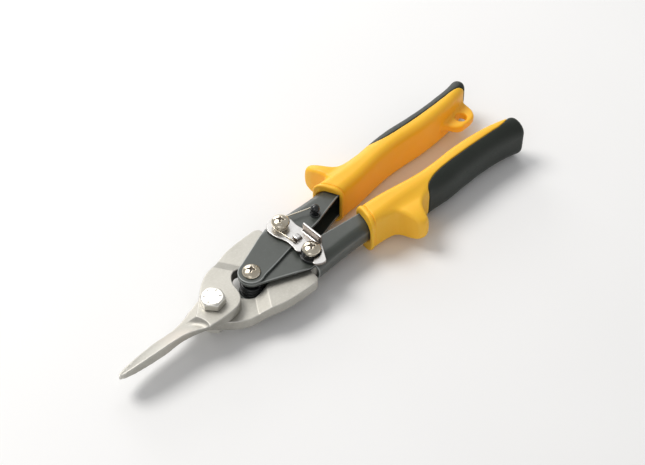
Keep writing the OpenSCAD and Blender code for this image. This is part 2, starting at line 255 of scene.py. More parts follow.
def lerp(x, table):
    """Smooth interpolation through (x, value) rows."""
    t = np.array(table, float)
    xs, vs = t[:, 0], t[:, 1]
    if xs[0] > xs[-1]:
        xs, vs = xs[::-1], vs[::-1]
    m = np.gradient(vs, xs)
    x = np.asarray(x, float)
    i = np.clip(np.searchsorted(xs, x) - 1, 0, len(xs) - 2)
    h = xs[i + 1] - xs[i]
    u = np.clip((x - xs[i]) / h, 0, 1)
    return ((2 * u**3 - 3 * u**2 + 1) * vs[i] + (u**3 - 2 * u**2 + u) * h * m[i]
            + (-2 * u**3 + 3 * u**2) * vs[i + 1] + (u**3 - u**2) * h * m[i + 1])


# ---------------------------------------------------------------- materials
class Mat:
    """A Principled material with a few node helpers. Coordinates are the object's, in metres."""

    def __init__(self, name, **sockets):
        self.m = bpy.data.materials.new(name)
        self.m.use_nodes = True
        self.nt = self.m.node_tree
        self.nt.nodes.clear()
        self.out = self.nt.nodes.new("ShaderNodeOutputMaterial")
        self.bsdf = self.nt.nodes.new("ShaderNodeBsdfPrincipled")
        self.nt.links.new(self.bsdf.outputs[0], self.out.inputs[0])
        self.tc = self.nt.nodes.new("ShaderNodeTexCoord")
        for k, v in sockets.items():
            self.bsdf.inputs[k.replace("_", " ")].default_value = v

    def node(self, kind, **props):
        n = self.nt.nodes.new(kind)
        for k, v in props.items():
            setattr(n, k, v)
        return n

    def link(self, a, b):
        self.nt.links.new(a, b)

    def mapped(self, scale=(1, 1, 1), rot=(0, 0, 0)):
        mp = self.node("ShaderNodeMapping")
        mp.inputs["Scale"].default_value = scale
        mp.inputs["Rotation"].default_value = rot
        self.link(self.tc.outputs["Object"], mp.inputs["Vector"])
        return mp.outputs["Vector"]

    def noise(self, scale, detail=4.0, rough=0.55, vector=None, distortion=0.0):
        n = self.node("ShaderNodeTexNoise")
        n.inputs["Scale"].default_value = scale
        n.inputs["Detail"].default_value = detail
        n.inputs["Roughness"].default_value = rough
        n.inputs["Distortion"].default_value = distortion
        self.link(vector or self.tc.outputs["Object"], n.inputs["Vector"])
        return n.outputs["Fac"]

    def ramp(self, fac, stops):
        r = self.node("ShaderNodeValToRGB")
        cr = r.color_ramp
        while len(cr.elements) < len(stops):
            cr.elements.new(0.5)
        for e, (p, c) in zip(cr.elements, stops):
            e.position = p
            e.color = (*c, 1) if len(c) == 3 else c
        self.link(fac, r.inputs["Fac"])
        return r.outputs["Color"]

    def span(self, fac, a, b, lo=0.0, hi=1.0):
        r = self.node("ShaderNodeMapRange")
        r.inputs["From Min"].default_value = lo
        r.inputs["From Max"].default_value = hi
        r.inputs["To Min"].default_value = a
        r.inputs["To Max"].default_value = b
        self.link(fac, r.inputs["Value"])
        return r.outputs["Result"]

    def maths(self, op, a, b=None, c=None, clamp=False):
        n = self.node("ShaderNodeMath", operation=op, use_clamp=clamp)
        for i, v in enumerate((a, b, c)):
            if v is None:
                continue
            if isinstance(v, (int, float)):
                n.inputs[i].default_value = v
            else:
                self.link(v, n.inputs[i])
        return n.outputs[0]

    def mix(self, fac, a, b, blend="MIX"):
        n = self.node("ShaderNodeMix", data_type="RGBA", blend_type=blend)
        for key, v in (("Factor", fac), ("A", a), ("B", b)):
            s = [i for i in n.inputs if i.name == key and i.type in (("VALUE",) if key == "Factor" else ("RGBA",))][0]
            if isinstance(v, (int, float)):
                s.default_value = v
            elif isinstance(v, tuple):
                s.default_value = (*v, 1) if len(v) == 3 else v
            else:
                self.link(v, s)
        return [o for o in n.outputs if o.type == "RGBA"][0]

    def bump(self, height, strength, distance, normal=None):
        b = self.node("ShaderNodeBump")
        b.inputs["Strength"].default_value = strength
        b.inputs["Distance"].default_value = distance
        self.link(height, b.inputs["Height"])
        if normal is not None:
            self.link(normal, b.inputs["Normal"])
        return b.outputs["Normal"]

    def edges(self, lo=0.5, hi=0.62):
        """0 on flats, 1 on convex edges, from the mesh's own shape; the materials use it to paint a highlight along
        convex edges.
        """
        g = self.node("ShaderNodeNewGeometry")
        return self.span(g.outputs["Pointiness"], 0.0, 1.0, lo, hi)

    def colour(self, c):
        self.link(c, self.bsdf.inputs["Base Color"])

    def rough(self, r):
        self.link(r, self.bsdf.inputs["Roughness"])

    def normal(self, n):
        self.link(n, self.bsdf.inputs["Normal"])


def blade_material():
    m = Mat("blade_steel", Metallic=1.0)
    big = m.noise(55, 3)
    fine = m.noise(900, 3, 0.6)
    grain = m.noise(260, 4, 0.6, m.mapped((1, 7, 1), (0, 0, 0.25)))
    base = m.ramp(big, [(0.30, (0.45, 0.437, 0.395)), (0.70, (0.525, 0.512, 0.47))])
    base = m.mix(m.span(fine, 0.0, 0.35, 0.45, 0.75), base, (0.68, 0.665, 0.63))
    base = m.mix(m.span(m.noise(28, 2, 0.5), 0.0, 0.5, 0.60, 0.75), base, (0.56, 0.50, 0.44))
    # painted highlight: convex edges lightened to a pale steel colour
    base = m.mix(m.edges(0.505, 0.60), base, (0.80, 0.79, 0.76))
    m.colour(base)
    m.rough(m.span(m.maths("ADD", fine, grain), 0.50, 0.62, 0.7, 1.3))
    n = m.bump(fine, 0.16, 0.00012)
    m.normal(m.bump(grain, 0.10, 0.00015, n))
    return m.m


def bolt_material():
    m = Mat("bolt_zinc", Metallic=1.0)
    fine = m.noise(700, 3, 0.6)
    big = m.noise(160, 2)
    base = m.ramp(big, [(0.3, (0.84, 0.82, 0.75)), (0.7, (0.88, 0.86, 0.80))])
    # painted highlight: convex edges lightened towards white
    base = m.mix(m.edges(0.51, 0.62), base, (0.94, 0.93, 0.90))
    m.colour(base)
    m.rough(m.span(fine, 0.30, 0.38, 0.35, 0.7))
    m.normal(m.bump(fine, 0.04, 0.00006))
    return m.m


def nickel_material():
    m = Mat("nickel", Metallic=1.0)
    big = m.noise(240, 2)
    fine = m.noise(1100, 2, 0.5)
    base = m.ramp(big, [(0.3, (0.66, 0.58, 0.45)), (0.7, (0.80, 0.74, 0.62))])
    # painted highlight: convex edges lightened to a pale nickel colour
    base = m.mix(m.edges(0.51, 0.64), base, (0.92, 0.89, 0.82))
    m.colour(base)
    m.rough(m.span(fine, 0.14, 0.24, 0.35, 0.7))
    m.normal(m.bump(fine, 0.06, 0.00008))
    return m.m


def latch_material():
    m = Mat("latch_nickel", Metallic=1.0)
    brush = m.noise(240, 4, 0.6, m.mapped((8, 1, 1), (0, 0, 0.05)))
    big = m.noise(120, 2)
    base = m.ramp(big, [(0.3, (0.50, 0.49, 0.475)), (0.7, (0.60, 0.59, 0.575))])
    # painted dark reflection: faces standing upright, such as the thumb tab's face, are darkened to a brown-grey by
    # their tilt
    side = m.node("ShaderNodeSeparateXYZ")
    m.link(m.tc.outputs["Normal"], side.inputs[0])
    facing_up_for_painted_shade = m.maths("ABSOLUTE", side.outputs["Z"])
    base = m.mix(m.span(facing_up_for_painted_shade, 1.0, 0.0, 0.15, 0.75), base, (0.24, 0.205, 0.18))
    # painted highlight: convex edges lightened to a bright nickel colour
    base = m.mix(m.edges(0.53, 0.64), base, (0.84, 0.84, 0.83))
    m.colour(base)
    m.rough(m.span(brush, 0.26, 0.36, 0.35, 0.7))
    m.normal(m.bump(brush, 0.05, 0.00008))
    return m.m


def paint_material():
    m = Mat("handle_paint", Specular_IOR_Level=0.6, Coat_Weight=0.35, Coat_Roughness=0.35)
    big = m.noise(45, 4)
    orange_peel = m.noise(480, 2, 0.5)
    specks = m.noise(1300, 2, 0.6)
    base = m.ramp(big, [(0.3, (0.038, 0.045, 0.038)), (0.7, (0.048, 0.056, 0.048))])
    base = m.mix(m.span(specks, 0.0, 0.6, 0.68, 0.80), base, (0.12, 0.14, 0.145))
    # lighter convex edges: partly worn paint, partly a painted highlight where the edges catch the light
    base = m.mix(m.edges(0.504, 0.54), base, (0.36, 0.38, 0.37))
    m.colour(base)
    m.rough(m.span(orange_peel, 0.34, 0.46, 0.35, 0.65))
    m.normal(m.bump(orange_peel, 0.12, 0.00015))
    return m.m


def black_material():
    m = Mat("black_steel", Specular_IOR_Level=0.5)
    fine = m.noise(600, 3, 0.6)
    base = m.ramp(m.noise(120, 2), [(0.3, (0.010, 0.011, 0.012)), (0.7, (0.020, 0.022, 0.023))])
    # painted highlight: convex edges lightened grey
    base = m.mix(m.edges(0.53, 0.66), base, (0.10, 0.11, 0.11))
    m.colour(base)
    m.rough(m.span(fine, 0.15, 0.26, 0.35, 0.7))
    m.normal(m.bump(fine, 0.08, 0.0001))
    return m.m


def bush_material():
    m = Mat("bush_steel", Metallic=1.0)
    rings = m.noise(500, 2, 0.5, m.mapped((0.2, 0.2, 6)))
    m.colour(m.ramp(rings, [(0.3, (0.40, 0.40, 0.41)), (0.7, (0.55, 0.55, 0.56))]))
    m.rough(m.span(rings, 0.3, 0.45))
    m.normal(m.bump(rings, 0.1, 0.0001))
    return m.m


def yellow_material():
    m = Mat("grip_yellow", Specular_IOR_Level=0.45, Subsurface_Weight=0.15, Subsurface_Scale=0.004,
            Subsurface_Radius=(1.0, 0.35, 0.08))
    big = m.noise(18, 3)
    mid = m.noise(160, 3)
    fine = m.noise(1500, 2, 0.6)
    base = m.ramp(big, [(0.30, (0.95, 0.495, 0.020)), (0.70, (0.97, 0.530, 0.030))])
    base = m.mix(m.span(mid, 0.0, 0.25, 0.45, 0.70), base, (0.97, 0.53, 0.040))
    # painted highlight: convex edges lightened to a paler yellow
    base = m.mix(m.edges(0.52, 0.66), base, (0.97, 0.58, 0.08))
    m.colour(base)
    m.rough(m.span(mid, 0.40, 0.52, 0.3, 0.7))
    n = m.bump(fine, 0.10, 0.00012)
    m.normal(m.bump(m.noise(70, 2), 0.08, 0.0008, n))
    return m.m


def dark_material():
    m = Mat("grip_dark", Specular_IOR_Level=0.35, Sheen_Weight=0.08, Sheen_Roughness=0.45)
    m.bsdf.inputs["Sheen Tint"].default_value = (0.70, 0.78, 0.74, 1)
    big = m.noise(30, 3)
    fine = m.noise(1400, 3, 0.65)
    base = m.ramp(big, [(0.30, (0.013, 0.017, 0.013)), (0.70, (0.019, 0.024, 0.019))])
    base = m.mix(m.span(fine, 0.0, 0.5, 0.5, 0.8), base, (0.030, 0.036, 0.031))
    # painted highlight: convex edges lightened to a paler grey-green
    base = m.mix(m.edges(0.53, 0.66), base, (0.06, 0.07, 0.065))
    m.colour(base)
    m.rough(m.span(fine, 0.44, 0.58, 0.35, 0.7))
    m.normal(m.bump(fine, 0.22, 0.00015))
    return m.m


def recess_shade_material():
    """Painted shade: a dark brown colour for the floor of the cross slots, where shade falls."""
    m = Mat("recess_painted_shade", Metallic=0.6)
    n = m.noise(900, 2)
    m.colour(m.ramp(n, [(0.3, (0.07, 0.06, 0.05)), (0.7, (0.13, 0.11, 0.09))]))
    m.rough(m.span(n, 0.45, 0.6))
    return m.m


M = dict(blade_steel=blade_material(), bolt_zinc=bolt_material(), nickel=nickel_material(),
         latch_nickel=latch_material(), handle_paint=paint_material(), black_steel=black_material(),
         bush_steel=bush_material(), grip_yellow=yellow_material(), grip_dark=dark_material())
RECESS_SHADE = recess_shade_material()

for node in frame["record"]["subparts"]:
    ob = frame["nodes"][node["node"]]
    ob.data.materials.clear()
    ob.data.materials.append(M[node["material_slot"]])

# ---------------------------------------------------------------- blades
NOSE_BACK = [(-57.5, -1.5), (-54, -2.7), (-46, -3.9), (-36, -4.6), (-27, -5.0), (-22, -5.5), (-16.5, -7.2), (-10.5, -10.4)]
NOSE_CUT = [(-57.5, 0.35), (-54, 1.3), (-46, 2.8), (-36, 3.7), (-27, 3.6), (-22, 3.3), (-16.5, 2.8), (-10.5, 0.6)]
BLADE_EDGE = (
    [(-57.5, -0.3), (-56.9, -1.7), (-54, -2.7), (-46, -3.9), (-36, -4.6), (-27, -5.0), (-22, -5.5), (-16.5, -7.0), (-13.2, -8.6),
     (-10.4, -10.2, 1), (-3.9, -10.55), (3.3, -10.45), (7.4, -9.85), (10.8, -7.9), (12.7, -5.3), (13.7, -2.3),
     (14.4, 1.6), (15.9, 4.7), (18.6, 7.1), (22.2, 8.0), (26.6, 7.9), (32, 7.0), (38, 6.2), (46, 5.9), (50.5, 6.1),
     (54.2, 5.8), (58.0, 7.4), (59.6, 11.2), (58.0, 15.0), (54.2, 16.6), (51.0, 15.8), (49.2, 16.2, 1), (49.1, 19.4),
     (48.6, 21.7), (47.0, 22.7), (43, 22.9), (37, 22.8), (32, 22.5), (26.5, 21.8), (20.6, 20.2), (14.2, 17.1),
     (10, 16.3), (6, 14.4), (2.3, 11.9), (-1.5, 8.5), (-6.4, 3.9), (-9.6, 0.9), (-11.5, -0.6, 1), (-13.2, 1.2), (-16.5, 2.8), (-22, 3.3), (-27, 3.6),
     (-36, 3.7), (-46, 2.8), (-54, 1.3), (-57.0, 0.4)]
)


def blade_mesh(bore_r, flip):
    xs = axis((-58.2, -8, 0.34), (-8, 16, 0.30), (16, 48, 0.36), (48, 60.2, 0.34))
    ys = axis((-11.4, 24.0, 0.30))
    zs = axis((-3.9, 7.2, 0.27))
    X2, Y2 = xs[:, None].astype(float), ys[None, :].astype(float)
    d2 = poly_sdf(spline(BLADE_EDGE), X2, Y2)
    # top of the nose: a narrow flat along the back, then a slope down to the cutting edge
    yb, yc = lerp(X2, NOSE_BACK), lerp(X2, NOSE_CUT)
    hr = lerp(X2, [(-57.5, 2.6), (-54, 4.0), (-46, 5.3), (-36, 5.8), (-22, 5.6), (-14, 5.05), (-10, 4.9), (20, 4.9)])
    he = lerp(X2, [(-57.5, 1.2), (-54, 1.1), (-46, 1.0), (-36, 1.0), (-22, 1.15), (-10, 1.5), (20, 1.5)])
    t = np.clip((Y2 - yb - 0.75) / np.maximum(yc - yb - 0.75, 0.4), 0, 1.25)
    swell = 0.35 * np.sin(np.clip(t, 0, 1) * math.pi)
    flank = hr + (he - hr) * t + swell
    # the plate round the pivot, cut off in front along an arc, with a sloping wall
    arc = spline([(-10.5, -10.5, 1), (-9.9, -8.6), (-9.75, -6.7), (-10.1, -4.4), (-10.7, -2.6), (-11.5, -0.9, 1), (-11.0, 6, 1),
                  (-11, 40, 1), (80, 40, 1), (80, -40, 1), (-10.5, -40, 1)])
    da = poly_sdf(arc, X2, Y2)
    # the joggle: the tail lies half a thickness lower
    n = np.array([8.5, 5.4]) / np.hypot(8.5, 5.4)
    along = (X2 - 14.1) * n[0] + (Y2 - 17.0) * n[1]
    drop = BLADE_T / 2 * np.clip(along / 6.3, 0, 1)
    Z = zs[None, None, :].astype(float)
    f_nose = np.maximum((Z - flank[:, :, None]) * 0.86, X2[:, :, None] + 9.0)
    tilt = math.radians(38)
    f_wall = (da[:, :, None] - (BLADE_T - Z) * math.tan(tilt)) * math.cos(tilt)
    f_plate = np.maximum(Z - (BLADE_T - drop)[:, :, None], f_wall)
    F = rmin(f_nose, f_plate, 1.5)
    F = np.maximum(F, Z - (BLADE_T - drop)[:, :, None])
    # the back edge leans in towards the meeting face
    inset = lerp(X2, [(-60, 0.0), (-31, 0.2), (-25.4, 0.9), (-20, 1.2), (-14.5, 1.9), (-10.4, 2.7), (-7, 2.3), (-3.5, 1.2), (3, 0.0), (60, 0.0)])
    inset = np.maximum(inset, 0) * np.clip(-(Y2 + 1.2) / 2.6, 0, 1)
    F = rmax(F, d2[:, :, None] + inset[:, :, None] * np.clip(1 - Z / BLADE_T, 0, 1), 0.42)
    floor = (0.04 - drop)[:, :, None]
    F = rmax(F, floor - Z, 0.22)
    bore = bore_r - np.hypot(X2, Y2)
    eye = 3.65 - np.hypot(X2 - PIVOT_T, Y2 - TAIL_Y)
    F = rmax(F, np.maximum(bore, eye)[:, :, None] + 0 * Z, 0.25)
    v, q = nets(F, xs, ys, zs)
    v = relax(v, q, 1, 0.25)
    v[:, 0] = np.maximum(v[:, 0], -57.5)
    if flip:
        v = v * np.array([1, -1, -1])
    return v, q


for side, bore in (("a", 4.45), ("b", 4.0)):
    v, q = blade_mesh(bore, side == "b")
    me = fast_mesh("blade_" + side + "_forged", put(v), q)
    finish_piece(me, "blade_" + side + "_forged", "blade_" + side, ["blade_" + side], M["blade_steel"])

# ---------------------------------------------------------------- handle channels
WEB = [(51.2, 18.8), (62, 18.2), (76, 17.7), (90, 17.8), (110, 18), (130, 18.6), (160, 18.6), (183, 19.4)]
ARM_A_IN = [(183, 16.2, 1), (160, 13.4), (130, 12.6), (110, 9.4), (90, 7.2), (78, 3.9), (70, 1.6), (64, 0.7), (58, 0.3),
            (48.4, -1.8), (31, -5.3)]
ARM_B_IN = [(183, 16.2, 1), (160, 13.4), (130, 12.6), (110, 9.4), (90, 7.2), (76, 5.8), (68, 4.9), (60, 4.0),
            (50, 1.4), (40, -2.2), (31, -5.3)]


BEND = 5.6


def channel_mesh(inner, out, flip, holes):
    xs = axis((17.2, 94, 0.30), (94, 184, 1.2))
    ys = axis((-7.6, 20.2, 0.28))
    zi = out - WALL
    zh = axis((0, zi - 1.9, 0.7), (zi - 1.9, out + 0.8, 0.26))
    zs = np.concatenate([-zh[:0:-1], zh])
    X2, Y2 = xs[:, None].astype(float), ys[None, :].astype(float)
    a = np.radians(np.arange(250, 100, -6))
    eye = [(PIVOT_H + 6.8 * math.cos(t), 6.8 * math.sin(t)) for t in a]
    edge = [*eye, (31.5, 9.9), (42, 14.2), (48.4, 16.9), (50.6, 18.3), (52.0, 18.75)] + WEB[1:-1] + [(183, 19.4, 1)] + inner
    d2 = poly_sdf(spline(edge[::-1], step=0.5), X2, Y2)
    d2 = np.minimum(d2, np.hypot(X2 - PIVOT_H, Y2) - 6.8)
    web = lerp(X2, WEB)
    dw = Y2 - web                                # above the web's outer face
    Z = np.abs(zs)[None, None, :].astype(float)
    F = rmax(dw[:, :, None] + 0 * Z, Z - out, BEND)
    F = rmax(F, d2[:, :, None] + 0 * Z, 0.40)
    F = rmax(F, Z - out, 0.40)
    notch = (51.1 + 1.5 * np.clip(1 - (Z / out) ** 2, 0, 1)) - X2[:, :, None]
    F = np.where(np.abs(Z) < zi + 0.3, rmax(F, np.minimum(notch, (dw + 4.6)[:, :, None] + 0 * Z), 0.3), F)
    # hollow, with a rounded inside bend behind the web; in front of the web it runs right through
    front = 50.9 - X2
    dh = np.where(X2 < 51.2, -np.maximum(51.2 - X2, 0), np.maximum(Y2 - (web - WALL), -5.0))
    dh = np.minimum(Y2 - (web - WALL), np.where(front > 0, -front, 1e9))
    H = rmax(dh[:, :, None] + 0 * Z, Z - zi, BEND - WALL)
    H = np.where((front > 0)[:, :, None], np.maximum(dh[:, :, None], Z - zi), H)
    F = rmax(F, -H, 0.22)
    for hx, hy, hr, side in holes:
        hole = hr - np.hypot(X2 - hx, Y2 - hy)
        h3 = hole[:, :, None] + 0 * Z
        if side:
            h3 = np.where(zs[None, None, :] > 0, h3, -9.0)
        F = rmax(F, h3, 0.25)
    v, q = nets(F, xs, ys, zs)
    v = relax(v, q, 1, 0.2)
    v[:, 2] = np.clip(v[:, 2], -out, out)
    if flip:
        v = v * np.array([1, -1, 1])
        q = q[:, ::-1]
    return v, q


for side, inner, out in (("a", ARM_A_IN, HA), ("b", ARM_B_IN, HB)):
    holes = [(PIVOT_H, 0, 2.55, False), (PIVOT_T, TAIL_Y, 2.55, False)]
    if side == "a":
        holes.append((73.0, 6.1, 1.6, True))
    v, q = channel_mesh(inner, out, side == "b", holes)
    name = "handle_" + side + "_pressing"
    finish_piece(fast_mesh(name, put(v), q), name, "handle_" + side, ["handle_" + side + "_channel"],
                 M["handle_paint"])

# ---------------------------------------------------------------- grips
STATIONS = [(90.5, 5.9, 19.6, 12.3, 4.5, 5.0), (98, 6.3, 20.0, 12.35, 4.5, 5.5), (106, 6.9, 20.5, 12.4, 4.5, 6.2),
            (114, 8.1, 21.6, 12.55, 4.5, 7.4), (122, 9.4, 22.9, 12.7, 4.5, 8.5), (131, 10.3, 24.2, 12.75, 4.5, 9.3),
            (140, 10.45, 24.7, 12.8, 4.5, 9.5), (155, 9.85, 24.05, 12.8, 4.5, 9.5), (168, 10.35, 23.9, 12.8, 4.5, 9.5),
            (180, 11.8, 24.5, 12.8, 4.4, 9.2), (188, 13.7, 25.6, 12.75, 4.2, 8.7), (195.5, 16.2, 27.4, 12.3, 3.2, 7.4)]
GUARD_A = [(95, 14, 1), (95, 17.5), (94.6, 21.5), (93.4, 26), (92.1, 31.0), (92.5, 34.7), (94.6, 36.0), (96.5, 35.0), (97.9, 31.6),
           (99.5, 27.8), (101.9, 24.2), (105.5, 21.8), (110.5, 20.4), (116, 19.6, 1), (116, 14, 1)]
GUARD_B = [(95, 14, 1), (95, 17.6, 1), (99.5, 19.4), (102.8, 20.9), (105.4, 24.2), (106.9, 29.2), (108.2, 33.5), (109.8, 35.4), (111.6, 36.0),
           (113.5, 34.8), (114.9, 31.4), (116.3, 28.0), (118.8, 25.2), (122.4, 23.2), (127, 21.6), (132, 20, 1), (132, 14, 1)]
GUARD_SIDE = [(13, -7.3, 1), (18, -8.6), (22, -9.4), (26, -9.3), (31, -7.9), (34.4, -5.4), (36, -2.1), (36, 3.0), (34.6, 6.2), (31, 8.5),
              (26, 9.7), (22, 9.7), (18, 8.8), (13, 7.5, 1)]
INSERT_EDGE = [(125.5, 44, 1), (125.5, 25.0), (125.7, 22.4), (127.2, 20.5), (131, 18.8), (136, 17.7), (144, 17.1), (158, 16.9),
               (168, 17.1), (178, 17.5), (186, 17.8), (190.4, 17.0), (193.2, 15.0), (194.9, 11.0, 1), (204, 8, 1), (204, 44, 1)]
CORE_EDGE = [(100, -5, 1), (100, 19.2, 1), (128, 19.9), (146, 20.1), (170, 20.1), (187, 20.8), (192.4, 20.8, 1), (192.4, -5, 1)]
LOOP_EDGE = [(191.5, 22, 1), (191.6, 16.5), (191.3, 10.6), (190.4, 6.4), (188.3, 3.4), (185.2, 2.2), (181, 1.9), (177.2, 2.0), (174.8, 3.5),
             (172.6, 7.2), (170.4, 11.0), (168.5, 15), (168, 22, 1)]


def grip_field(xs, ys, zs, guard, loop):
    X, Y, Z = (xs[:, None, None].astype(float), ys[None, :, None].astype(float), zs[None, None, :].astype(float))
    X2, Y2 = X[:, :, 0], Y[:, :, 0]
    st = np.array(STATIONS)
    y0, y1, hh, r0, r1 = (lerp(X, st[:, [0, k]]) for k in (1, 2, 3, 4, 5))
    if loop:
        y1 = y1 - 1.3 * np.clip((X - 178) / 17, 0, 1)
    XR = X + (6.2 if loop else 3.0) * np.clip((Y - 6.0) / 13.5, 0, 1)     # the rim leans forward on its outer side
    w = np.clip(Z / hh, -1, 1) ** 2
    top = np.abs(Z) - hh
    F = np.maximum(rmax(y0 - Y + 0.40 * w, top + 0.0 * Y, r0), rmax(Y - y1 + 0.0 * Z, top + 0.0 * Y, r1))
    F = rmax(F, X - 195.5, 2.6)
    # thumb guard: a fin that leaves the grip in a broad sweep
    g2 = poly_sdf(spline(guard), X2, Y2)
    s2 = poly_sdf(spline(GUARD_SIDE), Y[0, :, :] + 0 * Z[0], Z[0] + 0 * Y[0, :, :])
    G = rmax(g2[:, :, None] + 0 * Z, s2[None] + 0 * X, 2.3)
    F = rmin(F, G, 2.6)
    if loop:
        l2 = poly_sdf(spline(LOOP_EDGE), X2, Y2)
        L = rmax(l2[:, :, None] + 0 * Z, np.abs(Z) - 2.5, 1.3)
        L = rmax(L, Y - 17.5, 0.5)
        F = rmin(F, L, 1.8)
    # rim bead, with a shallow groove behind it
    bead_c = 91.75
    b0, b1, bh, br = 5.0, 20.45, 12.8, 6.5
    yb, wb = (b0 + b1) / 2, (b1 - b0) / 2
    by, bz = np.abs(Y - yb) - (wb - br), np.abs(Z) - (bh - br)
    B = np.hypot(np.maximum(by, 0), np.maximum(bz, 0)) + np.minimum(np.maximum(by, bz), 0) - br
    bead = rmax(B + 0 * XR, np.abs(XR - bead_c) - 1.25, 0.95)
    groove = np.abs(XR - 93.35) - 0.30
    F = rmax(F, -np.maximum(groove, np.abs(B + 0.45) - 0.75), 0.3)
    F = rmin(F, bead, 0.30)
    F = rmax(F, 90.5 - XR, 0.5)
    return F, X, Y, Z, X2, Y2, XR


def grip_meshes(guard, half, loop, flip):
    xs = axis((83.0, 96, 0.32), (96, 128, 0.42), (128, 165, 0.55), (165, 196.6, 0.38))
    ys = axis((1.0 if loop else 4.0, 28.4, 0.36), (28.4, 37, 0.40))
    zs = axis((-13.6, 13.6, 0.40))
    F, X, Y, Z, X2, Y2, XR = grip_field(xs, ys, zs, guard, loop)
    F = rmax(F, np.abs(Z) - 12.8, 0.3)
    # pocket for the channel, a little wider at its mouth
    pocket = [(80, 17.95), (90, 17.95), (110, 18.15), (130, 18.75), (160, 18.75), (183.3, 19.55),
              (183.3, 15.9), (160, 13.1), (130, 12.3), (110, 9.1), (90, 6.95), (80, 4.2)]
    p2 = poly_sdf(np.array(pocket, float), X2, Y2)
    round_web = rmax((Y2 - lerp(X2, WEB) - 0.15)[:, :, None] + 0 * Z, np.abs(Z) - half, BEND)
    P = np.maximum(np.maximum(p2[:, :, None] + 0 * Z, np.abs(Z) - half), round_web)
    mouth = np.maximum(P - 0.40, XR - 91.8)
    P = np.minimum(P, mouth)
    ins2 = poly_sdf(spline(INSERT_EDGE), X2, Y2)
    core2 = poly_sdf(spline(CORE_EDGE, step=1.0), X2, Y2)
    core = np.maximum(core2[:, :, None] + 0 * Z, np.abs(Z) - 9.7)
    I = np.maximum(ins2[:, :, None] + 0 * Z, -core)
    S = rmax(F, -(I - 0.05), 0.38)
    S = rmax(S, -P, 0.35)
    out = []
    if loop:
        S = rmax(S, (3.2 - np.hypot(X2 - 182.2, Y2 - 7.3))[:, :, None] + 0 * Z, 0.7)
    v, q = nets(S, xs, ys, zs)
    out.append((relax(v, q, 2, 0.35), q))
    T = rmax(F + 0.06, I + 0.05, 0.42)
    T = rmax(T, -P, 0.2)
    v, q = nets(T, xs, ys, zs)
    out.append((relax(v, q, 2, 0.35), q))
    res = []
    for v, q in out:
        v[:, 2] = np.clip(v[:, 2], -12.8, 12.8)
        if flip:
            v = v * np.array([1, -1, 1])
            q = q[:, ::-1]
        res.append((v, q))
    return res


for side, guard, half, loop in (("a", GUARD_A, 8.65, True), ("b", GUARD_B, 6.85, False)):
    (v, q), (vi, qi) = grip_meshes(guard, half, loop, side == "b")
    n1, n2 = "grip_" + side + "_moulding", "grip_" + side + "_soft_insert"
    finish_piece(fast_mesh(n1, put(v), q), n1, "handle_" + side, ["grip_" + side + "_sleeve"], M["grip_yellow"])
    finish_piece(fast_mesh(n2, put(vi), qi), n2, "handle_" + side, ["grip_" + side + "_insert"], M["grip_dark"])

# ---------------------------------------------------------------- small parts
def solid(name, body, slot, nodes, F, xs, ys, zs, at=(0, 0, 0), mat=None, turn=0.0, soften=0.2):
    """A small piece from a field written round its own axis."""
    v, q = nets(F, xs, ys, zs)
    v = relax(v, q, 1, soften)
    c, d = math.cos(math.radians(turn)), math.sin(math.radians(turn))
    v = np.stack([v[:, 0] * c - v[:, 1] * d, v[:, 0] * d + v[:, 1] * c, v[:, 2]], 1) + np.array(at, float)
    return finish_piece(fast_mesh(name, put(v), q), name, body, nodes, mat or M[slot])


def grid(r, z0, z1, h, hz=None):
    xs = axis((-r, r, h))
    zs = axis((z0, z1, hz or h))
    X, Y, Z = xs[:, None, None].astype(float), xs[None, :, None].astype(float), zs[None, None, :].astype(float)
    return xs, zs, X, Y, Z, np.hypot(X, Y)


def ring(name, body, slot, nodes, rings, at, n=80, angle=35):
    """Turned rings: each is a closed (r, z) profile, listed with the outside on the right going up."""
    verts, faces = [], []
    for prof in rings:
        p = np.array(prof, float)
        area = sum(p[i][0] * p[(i + 1) % len(p)][1] - p[(i + 1) % len(p)][0] * p[i][1] for i in range(len(p)))
        if area < 0:
            p = p[::-1]
        base, m = len(verts), len(p)
        for i in range(n):
            a = 2 * math.pi * i / n
            verts += [(at[0] + r * math.cos(a), at[1] + r * math.sin(a), at[2] + z) for r, z in p]
        for i in range(n):
            j = (i + 1) % n
            for k in range(m):
                l = (k + 1) % m
                faces.append((base + i * m + k, base + j * m + k, base + j * m + l, base + i * m + l))
    return finish_piece(fast_mesh(name, put(verts), faces), name, body, nodes, M[slot], angle)


def round_ring(r0, r1, z0, z1, c):
    """Profile of a plain ring with its four corners rounded to c."""
    out = []
    for r, z, s in ((r1 - c, z0 + c, -90), (r1 - c, z1 - c, 0), (r0 + c, z1 - c, 90), (r0 + c, z0 + c, 180)):
        for k in range(5):
            a = math.radians(s + 22.5 * k)
            out.append((r + c * math.cos(a), z + c * math.sin(a)))
    return out


